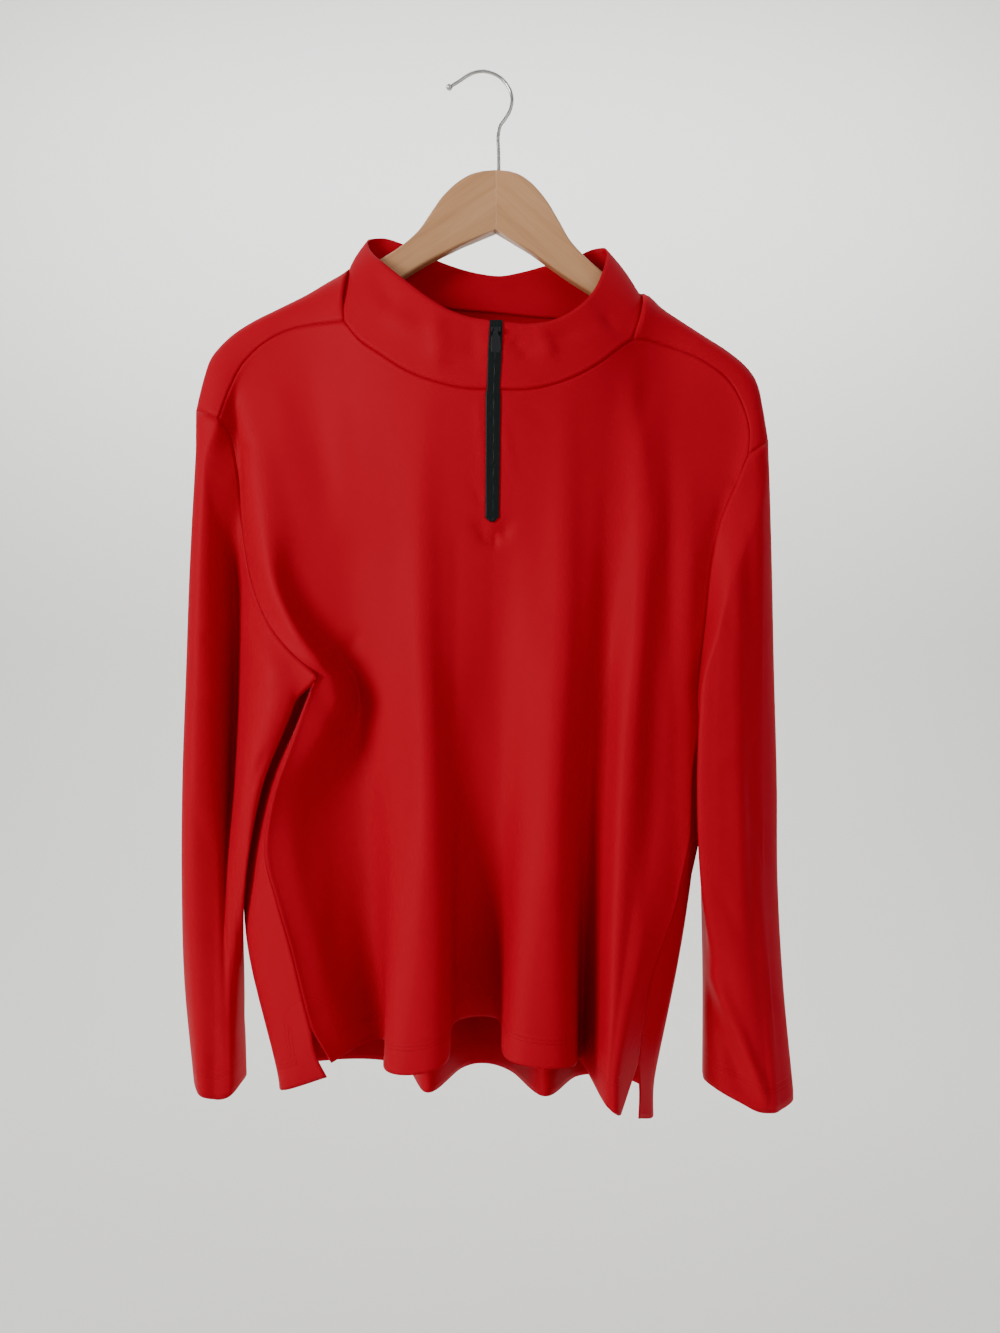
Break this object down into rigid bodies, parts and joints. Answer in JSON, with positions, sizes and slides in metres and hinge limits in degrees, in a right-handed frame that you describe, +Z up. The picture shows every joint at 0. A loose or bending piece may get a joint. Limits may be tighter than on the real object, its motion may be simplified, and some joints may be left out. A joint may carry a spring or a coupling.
{
  "type": "quarter-zip pullover on a wooden hanger",
  "caption": "Long-sleeved stretch jersey pullover with a stand collar and a short zip at the neck, hung in soft folds on a wooden hanger with a wire hook.",
  "frame": {"origin": "the point under the wire hook where a rail or nail carries the hanger", "axes": "+X to the right of someone who looks at the front, -Y towards them, +Z up"},
  "size_m": [0.5264, 0.1265, 0.8989],
  "materials": {
    "red_jersey": "smooth knitted polyester, soft sheen",
    "zip_black": "matt, coated zip",
    "hanger_wood": "satin varnish",
    "hook_steel": "plated wire"
  },
  "bodies": {
    "garment": {"front_panel": "red_jersey", "back_panel": "red_jersey", "sleeve_left": "red_jersey", "sleeve_right": "red_jersey", "collar": "red_jersey", "zip_tape": "zip_black", "zip_slider": "zip_black", "hanger_left": "hanger_wood", "hanger_right": "hanger_wood", "hook": "hook_steel"},
    "pull_tab": {"zip_pull": "zip_black"}
  },
  "joints": [
    {"name": "pull_tab_hinge", "type": "hinge", "parent": "garment", "child": "pull_tab", "pos_m": [0.01061, -0.05786, -0.24275], "axis": [-1, 0, 0], "range_deg": [0, 150]}
  ]
}
